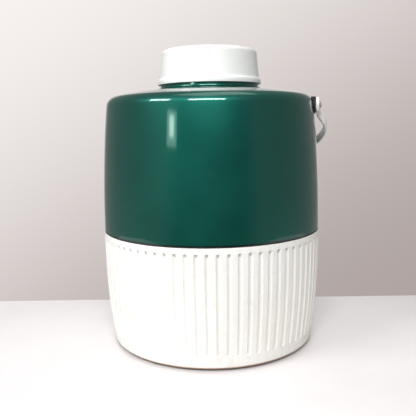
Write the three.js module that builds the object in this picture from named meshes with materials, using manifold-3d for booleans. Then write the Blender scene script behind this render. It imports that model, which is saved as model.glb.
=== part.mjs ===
// A one-gallon insulated picnic jug: a painted steel jacket over a ribbed plastic base, with a
// moulded liner and foam inside, a double-walled screw cap and a bail handle on two rivets.
// Millimetres, +Z up. The origin is on the jug's axis, in the plane of its foot ring. The pivot
// axis of the handle runs along X, and the handle rests on the back of the jacket, towards +Y.
import * as THREE from 'three';
import { mergeVertices } from 'three/addons/utils/BufferGeometryUtils.js';
import Module from 'manifold-3d';

const wasm = await Module();
wasm.setup();

// ---- Driving dimensions ----

const fitGap = 0.3; // between pieces that pass through or into each other
const sleeveGap = 0.5; // between the jacket and the base's upstand
const seatGap = 0.1; // between pieces that sit on each other

// Jacket and base
const seamRadius = 105; // outside, where the jacket meets the base
const baseHeight = 109.4; // foot plane to the rim of the base
const jacketHeight = 117.7; // seam to the start of the shoulder bend
const jacketTaper = 6; // how far the jacket draws in over its height
const jacketWall = 0.8;
const baseTaper = 7.3; // how far the base draws in from its rim to its foot
const baseWall = 2.6;
const rimBulge = 0.3; // the base's rim band stands this far proud of the seam
const rimBand = 9.4; // upright band under the rim
const rimBevel = 1.6; // the band's top turns in to the seam over this height
const footCorner = 5.5; // radius between the foot and the side
const footRingWidth = 7;
const footRecess = 2; // the middle of the underside is raised this much
const floorWall = 2.8;
const floorCorner = 6; // radius inside, between floor and side
const spigotHeight = 6; // the base's upstand inside the jacket
const spigotWall = 2.2;
const seamSealThickness = 0.7;
const seamSealProud = 0.1; // the seal stands this far out of the seam

// Shoulder and collar of the jacket
const shoulderBend = 10; // radius of the bend between side and shoulder
const domeFootSlope = 13.3; // degrees, where the dome leaves the bend
const domeTopSlope = 2.6; // degrees, where the dome meets the collar
const collarSpace = 7.3; // from the liner's neck to the outside of the collar
const collarHeight = 5.75;
const collarBlend = 2.2; // between dome and collar

// Liner
const linerWall = 2;
const sideFoam = 24.5; // from the liner's outside to the seam's
const linerFloor = 26; // height of the inside floor
const linerCorner = 10;
const linerBend = 8; // radius between side and shoulder, inside
const linerSlope = 20; // degrees, of the shoulder
const shoulderFoam = 17.2; // between the shoulders of liner and jacket, beside the neck
const neckRadius = 38; // inside of the neck
const neckHeight = 16.8; // neck above the flange
const flangeThickness = 1.4;
const flangeInset = 0.4; // the flange's edge lies this far inside the collar's outside
const neckSealThickness = 1;

// Screw thread
const threadPitch = 8;
const threadHeight = 1.4;
const threadWidth = 2.4;
const threadRoot = 0.6; // the ridges are sunk this far into their walls
const threadEndHeight = 0.15; // share of its height at which a ridge starts and ends
const threadRunOut = 12; // a ridge reaches its full height in a twelfth of its length or less
const crestGap = 0.6; // between a ridge's crest and the other wall
const threadLead = 4.2; // from the flange to the lower end of the neck's ridge
const threadRim = 2.6; // from the upper end of the neck's ridge to the rim

// Cap
const capTaper = 2.1; // how far the cap draws in over its height
const capWall = 1.8;
const capCorner = 4.5; // radius round the top
const capDome = 0.7; // rise of the top's middle
const capDomeShare = 0.6; // of the flat top's radius, where its slope changes
const capDomeFall = 0.3; // of the dome's rise, lost there
const capFoamDepth = 6; // between the tops of the cap's two cups
const capOverlap = 4.2; // the lip reaches this far below the top of the flange
const capLipHeight = 4.5;
const capLipWall = 1.5;
const capLipGap = 0.6; // between the lip and the collar
const capLipEdge = 0.4; // bevel on the lip's upper edge
const capLipStep = 0.9; // height of the slope from the lip to the side
const flangeClear = 0.4; // above the flange, inside the cap
const insertWall = 1.6;
const insertLift = 0.7; // from the flange to the foot of the insert
const insertRimGap = 0.6; // between the insert's rim and the cap's side
const gasketThickness = 1.7;
const gasketOverhang = 0.5; // the gasket reaches this far inside the neck

// Fill plug in the underside
const plugRadius = 8.7;
const plugFlangeWidth = 4.3;
const plugFlange = 1;
const plugLength = 7;
const plugEdge = 0.4; // bevel round the flange
const plugPoint = 1; // bevel round the inner end

// Handle and its pivots
const pivotDrop = 2.2; // pivot axis below the start of the shoulder bend
const spacerRadius = 8;
const spacerThickness = 1.8; // between jacket and handle, on the pivot axis
const earRadius = 7.5;
const earProud = 0.15; // the ear stands proud of the strap on each side
const strapThickness = 3.1;
const strapDrop = 10.5; // from the plane through the pivots to the strap's lower edge
const legWidth = 9;
const gripWidth = 19;
const gripThickness = 6;
const earLength = 10; // straight part of the strap past the pivot
const flareLength = 20; // stretch in which the strap steps outwards
const flareOut = 6.2;
const bailSlack = 17; // reach of the bail beyond the seam radius
const flareEase = 0.45; // share of the flare over which its ends straighten
const legShares = [0.015, 0.09]; // of the strap's length, where an end widens into a leg
const gripShares = [0.26, 0.4]; // where a leg widens into the grip
const endLower = 0.7; // edges of the strap's ends inside the ears, in ear radii
const endUpper = 0.4;
const restGap = 0.5; // between the strap and the jacket when the handle is down
const rivetRadius = 1.8;
const rivetHeadRadius = 3;
const rivetHeadHeight = 1.3;
const headDomeShare = 0.6; // of the head's height and radius, where its dome breaks
const headDomeDrop = 0.25;
const backingRadius = 7.5;
const backingThickness = 1.2;
const pocketDepth = 5.4; // hollow in the foam behind each pivot
const pivotReach = 12; // depth of the pivots' pieces inside the jacket's outside

const roundSegments = 48;
const smallSegments = 20; // pivots and fill plug
const stepsPerTurn = 24; // thread
const bendFirstShare = 0.4; // of the shoulder bend's angle, where its first corner lies
const domeShares = [0.33, 0.66]; // of the dome's width, where its corners lie

// ---- Heights and radii that follow from them ----

const baseCurve = 2.3; // exponents of the sides' curves
const jacketCurve = 2.1;

function radians(degrees) {
  return THREE.MathUtils.degToRad(degrees);
}

function tangent(degrees) {
  return Math.tan(radians(degrees));
}

const sealFoot = baseHeight + seatGap;
const jacketFoot = sealFoot + seamSealThickness + seatGap;
const shoulderStart = jacketFoot + jacketHeight;
const shoulderRadius = seamRadius - jacketTaper;
const neckOuter = neckRadius + linerWall;
const collarRadius = neckOuter + collarSpace;
const bendLean = Math.atan((jacketCurve * jacketTaper) / jacketHeight);
const bendCentreR = shoulderRadius - shoulderBend * Math.cos(bendLean);
const bendCentreZ = shoulderStart - shoulderBend * Math.sin(bendLean);
const domeFootR = bendCentreR + shoulderBend * Math.sin(radians(domeFootSlope));
const domeFootZ = bendCentreZ + shoulderBend * Math.cos(radians(domeFootSlope));
const domeWidth = domeFootR - collarRadius;
const domeRise = (domeWidth * (tangent(domeFootSlope) + tangent(domeTopSlope))) / 2;
const domeTop = domeFootZ + domeRise;
const collarTop = domeTop + collarHeight;
const neckSealFoot = collarTop + seatGap;
const flangeFoot = neckSealFoot + neckSealThickness + seatGap;
const flangeTop = flangeFoot + flangeThickness;
const neckTop = flangeTop + neckHeight;
const flangeRadius = collarRadius - flangeInset;
const crest = baseHeight - rimBand;
const pivotHeight = shoulderStart - pivotDrop;
const rivetHole = rivetRadius + fitGap;

function baseRadius(z) {
  const fall = Math.max(0, (crest - z) / crest);
  return seamRadius + rimBulge - baseTaper * fall ** baseCurve;
}

function jacketRadius(z) {
  if (z > shoulderStart) {
    return bendCentreR + Math.sqrt(Math.max(0, shoulderBend ** 2 - (z - bendCentreZ) ** 2));
  }
  const rise = Math.max(0, (z - jacketFoot) / jacketHeight);
  return seamRadius - jacketTaper * rise ** jacketCurve;
}

// ---- Profiles, solids and meshes ----

function arc(centreR, centreZ, radius, fromDeg, toDeg, steps) {
  const points = [];
  for (let i = 0; i <= steps; i++) {
    const a = radians(fromDeg + ((toDeg - fromDeg) * i) / steps);
    points.push([centreR + radius * Math.cos(a), centreZ + radius * Math.sin(a)]);
  }
  return points;
}

function curveUp(radiusAt, fromZ, toZ, steps) {
  const points = [];
  for (let i = 0; i <= steps; i++) {
    const z = fromZ + ((toZ - fromZ) * i) / steps;
    points.push([radiusAt(z), z]);
  }
  return points;
}

// Shared vertices are merged and triangles without area dropped, and the faces point outwards.
function tidy(geometry) {
  geometry.deleteAttribute('normal');
  geometry.deleteAttribute('uv');
  const merged = mergeVertices(geometry, 1e-4);
  const kept = [];
  for (let i = 0; i < merged.index.count; i += 3) {
    const [a, b, c] = [0, 1, 2].map((k) => merged.index.getX(i + k));
    if (a !== b && b !== c && c !== a) kept.push(a, b, c);
  }
  if (signedVolume(merged.attributes.position, kept) < 0) kept.reverse();
  merged.setIndex(kept);
  return merged;
}

function signedVolume(position, index) {
  const [a, b, c] = [new THREE.Vector3(), new THREE.Vector3(), new THREE.Vector3()];
  let volume = 0;
  for (let i = 0; i < index.length; i += 3) {
    a.fromBufferAttribute(position, index[i]);
    b.fromBufferAttribute(position, index[i + 1]);
    c.fromBufferAttribute(position, index[i + 2]);
    volume += a.dot(b.cross(c)) / 6;
  }
  return volume;
}

// A profile of [radius, height] points, closed on itself or ending on the axis, turned round Z.
function turned(profile, segments = roundSegments) {
  const points = profile.map(([r, z]) => new THREE.Vector2(r, z));
  if (profile[0][0] > 0) points.push(points[0].clone());
  const geometry = new THREE.LatheGeometry(points, segments);
  geometry.rotateX(Math.PI / 2);
  return tidy(geometry);
}

function solid(geometry) {
  const mesh = new wasm.Mesh({
    numProp: 3,
    vertProperties: new Float32Array(geometry.attributes.position.array),
    triVerts: new Uint32Array(geometry.index.array),
  });
  return new wasm.Manifold(mesh);
}

function geometryOf(manifold) {
  const { vertProperties, triVerts } = manifold.getMesh();
  const geometry = new THREE.BufferGeometry();
  geometry.setAttribute('position', new THREE.BufferAttribute(vertProperties, 3));
  geometry.setIndex(new THREE.BufferAttribute(triVerts, 1));
  return geometry;
}

const finishes = {
  greenPaint: { color: 0x23665a, roughness: 0.3, metalness: 0.4 },
  whitePlastic: { color: 0xf1efea, roughness: 0.4, metalness: 0 },
  linerPlastic: { color: 0xe9ebe6, roughness: 0.5, metalness: 0 },
  foam: { color: 0xe8d9a6, roughness: 0.95, metalness: 0 },
  blackRubber: { color: 0x1b1b1c, roughness: 0.7, metalness: 0 },
  greyRubber: { color: 0x8c8f8e, roughness: 0.7, metalness: 0 },
  steel: { color: 0x8f8578, roughness: 0.35, metalness: 1 },
};

function part(name, geometry, finish) {
  const shaded = geometry.toNonIndexed();
  shaded.computeVertexNormals();
  const mesh = new THREE.Mesh(shaded, new THREE.MeshStandardMaterial(finishes[finish]));
  mesh.name = name;
  return mesh;
}

// A bar with a section that changes along it: the section's steps are moved by place(x, y, t).
function warpedBar(section, steps, place) {
  const geometry = new THREE.ExtrudeGeometry(section, {
    depth: 1,
    steps,
    bevelEnabled: false,
  });
  const position = geometry.attributes.position;
  for (let i = 0; i < position.count; i++) {
    const moved = place(position.getX(i), position.getY(i), position.getZ(i));
    position.setXYZ(i, moved.x, moved.y, moved.z);
  }
  return tidy(geometry);
}

// A cylinder along X, from one x to another.
function barAlongX(radius, fromX, toX, segments = smallSegments) {
  const geometry = new THREE.CylinderGeometry(radius, radius, Math.abs(toX - fromX), segments);
  geometry.rotateZ(Math.PI / 2);
  geometry.translate((fromX + toX) / 2, 0, pivotHeight);
  return tidy(geometry);
}

// ---- Base: a moulded cup with a foot ring, a filling hole and an upstand inside the jacket ----

const floorTop = footRecess + floorWall;
const fillHole = plugRadius + fitGap;
const spigotOuter = seamRadius - jacketWall - sleeveGap;
const spigotInner = spigotOuter - spigotWall;
const spigotTop = baseHeight + spigotHeight;

// The inside of the cup from the upstand's top to its floor, moved inwards by inset.
function baseInside(inset) {
  const cornerTop = floorTop + floorCorner;
  const cornerCentre = baseRadius(cornerTop) - baseWall - floorCorner;
  const profile = [
    [spigotInner, spigotTop],
    [spigotInner, crest + rimBand / 3],
    ...curveUp((z) => baseRadius(z) - baseWall, crest, cornerTop, 2),
    ...arc(cornerCentre, cornerTop, floorCorner, -30, -90, 2),
  ];
  return profile.map(([r, z]) => [r - inset, z + (z < cornerTop ? inset : 0)]);
}

function makeBase() {
  const footRadius = baseRadius(footCorner) - footCorner;
  return turned([
    [fillHole, footRecess],
    [footRadius - footRingWidth - footRecess, footRecess],
    [footRadius - footRingWidth, 0],
    ...arc(footRadius, footCorner, footCorner, -90, 0, 3),
    ...curveUp(baseRadius, footCorner, crest, 4).slice(1),
    [seamRadius + rimBulge, baseHeight - rimBevel],
    [seamRadius, baseHeight],
    [spigotOuter, baseHeight],
    [spigotOuter, spigotTop],
    ...baseInside(0),
    [fillHole, floorTop],
  ]);
}

function makeSeamSeal() {
  const inner = spigotOuter + seatGap;
  const outer = seamRadius + seamSealProud;
  return turned([
    [inner, sealFoot],
    [outer, sealFoot],
    [outer, sealFoot + seamSealThickness],
    [inner, sealFoot + seamSealThickness],
  ]);
}

// ---- Jacket: one drawn steel shell, from the seam up over the shoulder to the collar ----

// The outside of the jacket from its foot to the collar's top, moved inwards by inset.
function jacketProfile(inset) {
  const bendTop = 90 - domeFootSlope;
  const lowerBend = bendTop * bendFirstShare;
  return [
    ...curveUp((z) => jacketRadius(z) - inset, jacketFoot, shoulderStart, 3),
    ...arc(bendCentreR, bendCentreZ, shoulderBend - inset, lowerBend, bendTop, 2),
    ...domeShares.map((share) => domePoint(share, inset)),
    domePoint(1 - collarBlend / domeWidth, inset),
    [collarRadius - inset, domeTop + collarBlend - inset],
    [collarRadius - inset, collarTop],
  ];
}

// A point on the dome, as a share of the way from the bend to the collar, lowered by inset.
function domePoint(share, inset) {
  const climb = domeWidth * tangent(domeFootSlope) * share * (1 - share);
  return [domeFootR - domeWidth * share, domeFootZ + climb + domeRise * share ** 2 - inset];
}

function makeJacket() {
  const outside = jacketProfile(0);
  const inside = jacketProfile(jacketWall).reverse();
  const holes = solid(barAlongX(rivetHole, -2 * seamRadius, 2 * seamRadius));
  return geometryOf(solid(turned([...outside, ...inside])).subtract(holes));
}

// The space inside a surface that lies inset below the jacket's outside, as one solid.
function jacketCore(inset) {
  const profile = jacketProfile(inset);
  return solid(turned([[0, jacketFoot], ...profile, [0, collarTop]]));
}

// ---- Liner: a blow-moulded bottle whose flange rests on the collar ----

const linerRadius = seamRadius - sideFoam - linerWall; // inside
const linerFall = (linerRadius - neckRadius) * tangent(linerSlope);
const linerBendCentre = domeTop - shoulderFoam - linerWall - linerFall - linerBend;

function linerShoulder(wall) {
  const bend = arc(
    linerRadius - linerBend, linerBendCentre, linerBend + wall, 0, 90 - linerSlope, 2,
  );
  const [bendR, bendZ] = bend[bend.length - 1];
  const neckR = neckRadius + wall;
  const blend = 3;
  const blendFoot = bendZ + (bendR - neckR - blend) * tangent(linerSlope);
  return [...bend, [neckR + blend, blendFoot], [neckR, blendFoot + blend]];
}

function linerFoot(wall) {
  const centreR = linerRadius - linerCorner;
  const centreZ = linerFloor + linerCorner;
  return [[0, linerFloor - wall], ...arc(centreR, centreZ, linerCorner + wall, -90, 0, 2)];
}

function makeLiner() {
  const profile = [
    ...linerFoot(linerWall),
    ...linerShoulder(linerWall),
    [neckOuter, flangeFoot],
    [flangeRadius, flangeFoot],
    [flangeRadius, flangeTop],
    [neckOuter, flangeTop],
    [neckOuter, neckTop],
    [neckRadius, neckTop],
    ...linerShoulder(0).reverse(),
    ...linerFoot(0).reverse(),
  ];
  return geometryOf(solid(turned(profile)).add(neckThread()));
}

// ---- Screw thread: a ridge outside the neck and one inside the cap, on the same helix ----

const threadTurns = (neckHeight - threadLead - threadRim) / threadPitch;
const threadFoot = flangeTop + threadLead; // middle of the neck's ridge at its lower end
const insertFoot = flangeTop + insertLift;
const capThreadFoot = insertFoot + 1.2 * threadWidth;
const insertRadius = neckOuter + threadHeight + crestGap;

// A ridge that climbs from footZ at fromAngle, out of a wall at wallRadius; side is 1 or -1.
function threadRidge(wallRadius, side, footZ, fromAngle) {
  const section = new THREE.Shape();
  section.moveTo(-threadRoot, -threadWidth / 2);
  section.lineTo(0, -threadWidth / 2);
  section.lineTo(threadHeight, -threadWidth / 4);
  section.lineTo(threadHeight, threadWidth / 4);
  section.lineTo(0, threadWidth / 2);
  section.lineTo(-threadRoot, threadWidth / 2);
  section.closePath();
  const steps = Math.round(stepsPerTurn * threadTurns);
  return solid(
    warpedBar(section, steps, (out, up, t) => {
      const angle = fromAngle + 2 * Math.PI * threadTurns * t;
      const runout = Math.min(1, threadEndHeight + threadRunOut * Math.min(t, 1 - t));
      const radius = wallRadius + side * (out > 0 ? out * runout : out);
      const z = footZ + threadPitch * threadTurns * t + up;
      return new THREE.Vector3(radius * Math.cos(angle), radius * Math.sin(angle), z);
    }),
  );
}

function neckThread() {
  return threadRidge(neckOuter, 1, threadFoot, 0);
}

function capThread() {
  const underNeckRidge = threadFoot - threadWidth - fitGap;
  const angle = (2 * Math.PI * (capThreadFoot - underNeckRidge)) / threadPitch;
  return threadRidge(insertRadius, -1, capThreadFoot, angle);
}

// ---- Foam: poured in one piece between liner, base and jacket ----

const plugFace = footRecess - seatGap - plugFlange;
const plugTop = footRecess + plugLength;
const foamTop = collarTop - 1;

function makeFoam() {
  const spigotClear = spigotTop + fitGap;
  const inset = jacketWall + fitGap;
  const jacketSide = jacketProfile(inset).filter(([, z]) => z > spigotClear + 1);
  const outside = [
    [0, plugTop + fitGap],
    [fillHole + 1, plugTop + fitGap],
    [fillHole + 1, floorTop + fitGap],
    ...baseInside(fitGap).reverse().slice(0, -1),
    [spigotInner - fitGap, spigotClear],
    [jacketRadius(spigotClear) - inset, spigotClear],
    ...jacketSide.slice(0, -1),
    [collarRadius - inset, foamTop],
  ];
  const linerSide = [
    [neckOuter + fitGap, foamTop],
    ...linerShoulder(linerWall + fitGap).reverse(),
    ...linerFoot(linerWall + fitGap).reverse(),
  ];
  const body = solid(turned([...outside, ...linerSide]));
  const pocket = solid(barAlongX(backingRadius + 1, -2 * seamRadius, 2 * seamRadius));
  const kept = jacketCore(jacketWall + pocketDepth);
  return geometryOf(body.subtract(pocket.subtract(kept)));
}

function makeFillPlug() {
  const shankFoot = plugFace + plugFlange;
  const flangeEdge = plugRadius + plugFlangeWidth;
  return turned(
    [
      [0, plugFace],
      [flangeEdge - plugEdge, plugFace],
      [flangeEdge, plugFace + plugEdge],
      [flangeEdge, shankFoot],
      [plugRadius, shankFoot],
      [plugRadius, plugTop - plugPoint],
      [plugRadius - plugPoint, plugTop],
      [0, plugTop],
    ],
    smallSegments,
  );
}

function makeNeckSeal() {
  const inner = neckOuter + fitGap;
  return turned([
    [inner, neckSealFoot],
    [flangeRadius, neckSealFoot],
    [flangeRadius, neckSealFoot + neckSealThickness],
    [inner, neckSealFoot + neckSealThickness],
  ]);
}

// ---- Cap: an outer cup and a threaded inner cup with foam between them, and a gasket ----

const insertTop = neckTop + seatGap + gasketThickness + seatGap;
const insertOuter = insertRadius + insertWall;
const capFoot = flangeTop - capOverlap;
const capTop = insertTop + insertWall + capFoamDepth + capWall + capDome;
const capLipTop = capFoot + capLipHeight;
const capRadius = insertOuter + fitGap + capWall + capTaper; // outside, just above the lip
const capLipRadius = collarRadius + capLipGap + capLipWall;
const capCeiling = capTop - capDome - capWall;

function makeCapShell() {
  const cornerZ = capTop - capDome - capCorner;
  const topRadius = capRadius - capTaper;
  const cornerR = topRadius - capCorner;
  const lipInner = capLipRadius - capLipWall;
  const stepZ = flangeTop + flangeClear;
  return turned([
    [0, capTop],
    [cornerR * capDomeShare, capTop - capDome * capDomeFall],
    ...arc(cornerR, cornerZ, capCorner, 88, 0, 4),
    [capRadius, capLipTop + capLipStep],
    [capLipRadius - capLipEdge, capLipTop],
    [capLipRadius, capLipTop - capLipEdge],
    [capLipRadius, capFoot],
    [lipInner, capFoot],
    [lipInner, stepZ],
    [capRadius - capWall, stepZ],
    [topRadius - capWall, cornerZ],
    ...arc(cornerR, cornerZ, capCorner - capWall, 30, 90, 2),
    [0, capCeiling],
  ]);
}

function makeCapInsert() {
  const rimRadius = capRadius - capWall - insertRimGap;
  const cup = turned([
    [0, insertTop],
    [insertRadius, insertTop],
    [insertRadius, insertFoot],
    [rimRadius, insertFoot],
    [rimRadius, insertFoot + insertWall],
    [insertOuter, insertFoot + insertWall],
    [insertOuter, insertTop + insertWall],
    [0, insertTop + insertWall],
  ]);
  return geometryOf(solid(cup).add(capThread()));
}

function makeCapFoam() {
  const foot = insertTop + insertWall + fitGap;
  const top = capCeiling - fitGap;
  const radius = capRadius - capTaper - capCorner;
  return turned([
    [0, foot],
    [radius, foot],
    [radius, top],
    [0, top],
  ]);
}

function makeCapGasket() {
  const foot = neckTop + seatGap;
  const inner = neckRadius - gasketOverhang;
  const outer = insertRadius - fitGap;
  return turned([
    [inner, foot],
    [outer, foot],
    [outer, foot + gasketThickness],
    [inner, foot + gasketThickness],
  ]);
}

// ---- Handle: a flat strap bent into a bail, with round ears on the rivets ----

const earFace = jacketRadius(pivotHeight) + spacerThickness + fitGap; // inner face of an ear
const earMiddle = earFace + earProud + strapThickness / 2;
const bailReach = seamRadius + bailSlack;
const strapSteps = 40;

// The middle line of the strap in the plane of the bail: x across the jug, y away from the pivots.
function bailPath() {
  const legX = earMiddle + flareOut;
  const legY = earLength + flareLength;
  const bend = flareLength * flareEase;
  const path = new THREE.Path();
  path.moveTo(earMiddle, 0);
  path.lineTo(earMiddle, earLength);
  path.bezierCurveTo(earMiddle, earLength + bend, legX, legY - bend, legX, legY);
  path.absellipse(0, legY, legX, bailReach - legY, 0, Math.PI, false);
  path.bezierCurveTo(-legX, legY - bend, -earMiddle, earLength + bend, -earMiddle, earLength);
  path.lineTo(-earMiddle, 0);
  return path;
}

// The strap's lower and upper edge and its thickness, t of the way along it. Each end is narrowed
// to stay inside its ear, the legs are narrow and low, and the grip is wider and thicker.
function strapSize(t) {
  const { lerp, smoothstep } = THREE.MathUtils;
  const fromEnd = Math.min(t, 1 - t);
  const leg = smoothstep(fromEnd, ...legShares);
  const grip = smoothstep(fromEnd, ...gripShares);
  const lower = -lerp(endLower * earRadius, strapDrop, leg);
  const legUpper = lerp(endUpper * earRadius, legWidth - strapDrop, leg);
  const upper = lerp(legUpper, gripWidth - strapDrop, grip);
  return { lower, upper, thickness: lerp(strapThickness, gripThickness, grip) };
}

function makeHandle() {
  const path = bailPath();
  path.arcLengthDivisions = 600;
  const halfThick = strapThickness / 2;
  const halfWide = legWidth / 2;
  const bevel = 1;
  const corners = [
    [halfThick, halfWide - bevel],
    [halfThick - bevel, halfWide],
    [bevel - halfThick, halfWide],
    [-halfThick, halfWide - bevel],
  ];
  const outline = [...corners, ...corners.map(([x, y]) => [-x, -y])];
  const section = new THREE.Shape(outline.map(([x, y]) => new THREE.Vector2(x, y)));
  const strap = warpedBar(section, strapSteps, (across, along, t) => {
    const point = path.getPointAt(t);
    const tangent = path.getTangentAt(t);
    const { lower, upper, thickness } = strapSize(t);
    const share = 0.5 + along / legWidth;
    const offset = across * (thickness / strapThickness) + (thickness - strapThickness) / 2;
    return new THREE.Vector3(
      point.x + tangent.y * offset,
      point.y - tangent.x * offset,
      THREE.MathUtils.lerp(lower, upper, share),
    );
  });
  let handle = solid(strap);
  for (const side of [-1, 1]) {
    const inner = side * earFace;
    const outer = side * (earFace + strapThickness + 2 * earProud);
    const ear = solid(barAlongX(earRadius, inner, outer));
    const hole = solid(barAlongX(rivetHole, inner - side, outer + side));
    handle = handle.add(ear.translate([0, 0, -pivotHeight]));
    handle = handle.subtract(hole.translate([0, 0, -pivotHeight]));
  }
  return geometryOf(handle);
}

// The angle below level, in degrees, at which the strap's lower edge comes to rest on the jacket.
function restAngle() {
  const path = bailPath();
  for (let degrees = 80; degrees > 0; degrees -= 0.25) {
    const a = radians(degrees);
    let clear = true;
    for (let t = 0.1; t <= 0.5; t += 0.02) {
      const point = path.getPointAt(t);
      const tangent = path.getTangentAt(t);
      const x = point.x - (tangent.y * strapThickness) / 2;
      const reach = point.y + (tangent.x * strapThickness) / 2;
      const y = reach * Math.cos(a) - strapDrop * Math.sin(a);
      const z = pivotHeight - reach * Math.sin(a) - strapDrop * Math.cos(a);
      if (Math.hypot(x, y) < jacketRadius(z) + restGap) clear = false;
    }
    if (clear) return degrees;
  }
  return 0;
}

// ---- Pivots: a spacer outside the jacket, a plate inside it, and a rivet through all of them ----

function makeSpacer(side) {
  const outer = side * (earFace - fitGap);
  const block = solid(barAlongX(spacerRadius, side * (shoulderRadius - pivotReach), outer));
  const hole = solid(barAlongX(rivetHole, 0, side * 2 * seamRadius));
  return geometryOf(block.subtract(jacketCore(-fitGap)).subtract(hole));
}

function makeBackingPlate(side) {
  const block = solid(barAlongX(backingRadius, side * (shoulderRadius - pivotReach), side * seamRadius));
  const hole = solid(barAlongX(rivetHole, 0, side * 2 * seamRadius));
  const near = jacketCore(jacketWall + fitGap);
  const far = jacketCore(jacketWall + fitGap + backingThickness);
  return geometryOf(block.intersect(near).subtract(far).subtract(hole));
}

function makeRivet(side) {
  const headFace = earFace + strapThickness + 2 * earProud + fitGap;
  const plateFace = jacketRadius(pivotHeight + rivetHeadRadius)
    - jacketWall - fitGap - backingThickness;
  const tailFace = plateFace - fitGap - seatGap;
  const dome = headDomeShare * rivetHeadHeight;
  const geometry = turned(
    [
      [0, headFace + rivetHeadHeight],
      [headDomeShare * rivetHeadRadius, headFace + rivetHeadHeight - headDomeDrop],
      [rivetHeadRadius, headFace + rivetHeadHeight - dome],
      [rivetHeadRadius, headFace],
      [rivetRadius, headFace],
      [rivetRadius, tailFace],
      [rivetHeadRadius, tailFace],
      [rivetHeadRadius, tailFace - rivetHeadHeight],
      [0, tailFace - rivetHeadHeight],
    ],
    smallSegments,
  );
  geometry.rotateY((side * Math.PI) / 2);
  geometry.translate(0, 0, pivotHeight);
  return geometry;
}

// ---- Assembly ----

const group = new THREE.Group();

const vessel = new THREE.Group();
vessel.add(part('base', makeBase(), 'whitePlastic'));
vessel.add(part('seam_seal', makeSeamSeal(), 'blackRubber'));
vessel.add(part('jacket', makeJacket(), 'greenPaint'));
vessel.add(part('liner', makeLiner(), 'linerPlastic'));
vessel.add(part('foam_body', makeFoam(), 'foam'));
vessel.add(part('fill_plug', makeFillPlug(), 'whitePlastic'));
vessel.add(part('neck_seal', makeNeckSeal(), 'greyRubber'));
for (const [side, where] of [[-1, 'left'], [1, 'right']]) {
  vessel.add(part(`pivot_spacer_${where}`, makeSpacer(side), 'blackRubber'));
  vessel.add(part(`backing_plate_${where}`, makeBackingPlate(side), 'steel'));
  vessel.add(part(`pivot_rivet_${where}`, makeRivet(side), 'steel'));
}
group.add(vessel);

const cap = new THREE.Group();
cap.add(part('cap_shell', makeCapShell(), 'whitePlastic'));
cap.add(part('cap_insert', makeCapInsert(), 'whitePlastic'));
cap.add(part('cap_foam', makeCapFoam(), 'foam'));
cap.add(part('cap_gasket', makeCapGasket(), 'greyRubber'));
group.add(cap);

const bail = new THREE.Group();
bail.position.z = pivotHeight;
bail.rotation.x = -radians(restAngle());
bail.add(part('handle', makeHandle(), 'whitePlastic'));
group.add(bail);

export default group;
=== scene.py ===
import math

import bpy
import numpy as np
from mathutils import Matrix, Vector


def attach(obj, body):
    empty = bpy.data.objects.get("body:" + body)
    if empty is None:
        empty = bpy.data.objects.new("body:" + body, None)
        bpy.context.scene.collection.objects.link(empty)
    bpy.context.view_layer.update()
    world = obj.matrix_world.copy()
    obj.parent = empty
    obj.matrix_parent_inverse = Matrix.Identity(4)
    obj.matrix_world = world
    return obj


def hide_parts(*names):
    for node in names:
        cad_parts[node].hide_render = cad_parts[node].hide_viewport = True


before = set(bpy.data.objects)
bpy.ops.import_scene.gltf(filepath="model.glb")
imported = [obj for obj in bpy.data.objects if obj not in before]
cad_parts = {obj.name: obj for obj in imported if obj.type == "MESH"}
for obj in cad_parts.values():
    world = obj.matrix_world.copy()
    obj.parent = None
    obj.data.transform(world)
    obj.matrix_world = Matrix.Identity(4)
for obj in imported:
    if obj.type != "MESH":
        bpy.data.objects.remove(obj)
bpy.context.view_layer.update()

# ---- Base ----
# A cup of white polypropylene, injection moulded, with 72 upright grooves, a fine pebble grain,
# a smooth rim band and a raised foot ring. Its upstand fits inside the jacket.

MM = 0.001
ROUND = 288  # steps round the big turned pieces

SEAM_RADIUS = 105.0
BASE_HEIGHT = 109.4
BASE_WALL = 2.6
RIM_RADIUS = 105.3
CREST = 100.0  # the base is widest from here to its rim
BASE_TAPER = 7.3
FOOT_CORNER = 5.5
FOOT_RING = 7.0
FOOT_RECESS = 2.0
FILL_HOLE = 9.0
FLOOR_TOP = 4.8
UPSTAND_RADIUS = 103.7
UPSTAND_INNER = 101.5
UPSTAND_TOP = 115.4

GROOVES = 72
GROOVE_HALF_WIDTH = 2.0
GROOVE_DEPTH = 1.25
GROOVE_FOOT = 13.8
GROOVE_TOP = 104.6
FIRST_GROOVE = math.radians(10.7)


def base_radius(z):
    fall = max(0.0, (CREST - z) / CREST)
    return RIM_RADIUS - BASE_TAPER * fall**2.3


def arc(centre_r, centre_z, radius, start, end, steps):
    """Points on an arc in the plane of radius and height, with its angles in degrees."""
    angles = np.radians(np.linspace(start, end, steps + 1))
    return [(centre_r + radius * math.cos(a), centre_z + radius * math.sin(a)) for a in angles]


def add_piece(name, points, faces, soft_angle=32):
    """A shaded mesh object from points in millimetres. Edges sharper than soft_angle stay crisp."""
    mesh = bpy.data.meshes.new(name)
    mesh.from_pydata([tuple(MM * c for c in p) for p in points], [], faces)
    mesh.validate()
    mesh.shade_smooth()
    mesh.set_sharp_from_angle(angle=math.radians(soft_angle))
    piece = bpy.data.objects.new(name, mesh)
    bpy.context.scene.collection.objects.link(piece)
    return piece


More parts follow.
